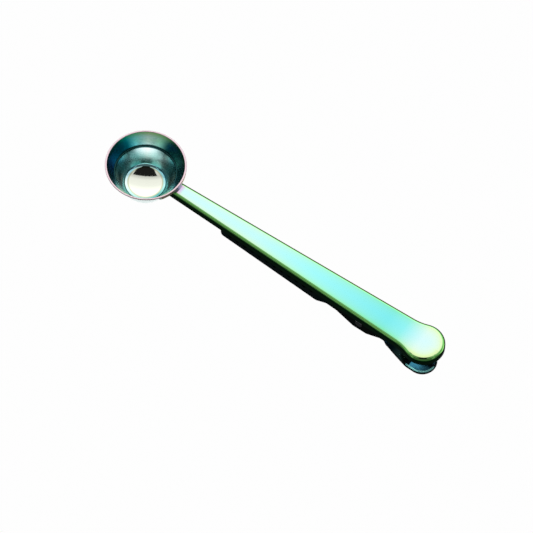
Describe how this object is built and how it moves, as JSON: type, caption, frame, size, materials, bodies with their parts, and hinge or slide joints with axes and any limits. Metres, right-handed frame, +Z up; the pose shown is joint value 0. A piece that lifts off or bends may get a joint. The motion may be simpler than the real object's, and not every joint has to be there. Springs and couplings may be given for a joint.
{
  "type": "coffee scoop with bag clip",
  "caption": "Round measuring scoop on a long channel handle, with a sprung toothed clip arm hinged under the handle that holds a folded bag shut.",
  "frame": {"origin": "middle of the whole object's bottom, on the surface that it stands on", "axes": "+X from the bowl to the thumb end, +Y across the handle, +Z up"},
  "size_m": [0.1765, 0.036, 0.0175],
  "materials": {
    "coated_bowl": "mirror with an iridescent coat, silver base, teal walls",
    "coated_handle": "polished with an iridescent aqua and green coat",
    "coated_dark": "polished, dark iridescent coat",
    "coated_clip": "polished, dark teal iridescent coat",
    "pin_steel": "plain bright steel",
    "spring_steel": "drawn spring wire"
  },
  "bodies": {
    "scoop": {"scoop_bowl": "coated_bowl", "handle": "coated_handle", "pivot_bracket": "coated_dark", "pivot_pin": "pin_steel", "torsion_spring": "spring_steel"},
    "clip": {"clip_arm": "coated_clip"}
  },
  "joints": [
    {"name": "clip_hinge", "type": "hinge", "parent": "scoop", "child": "clip", "pos_m": [0.04886, 0, 0.00961], "axis": [0, -1, 0], "range_deg": [0, 18], "stiffness_Nm_per_rad": 0.1, "springref_deg": -68.75, "deforming": ["torsion_spring"]}
  ]
}
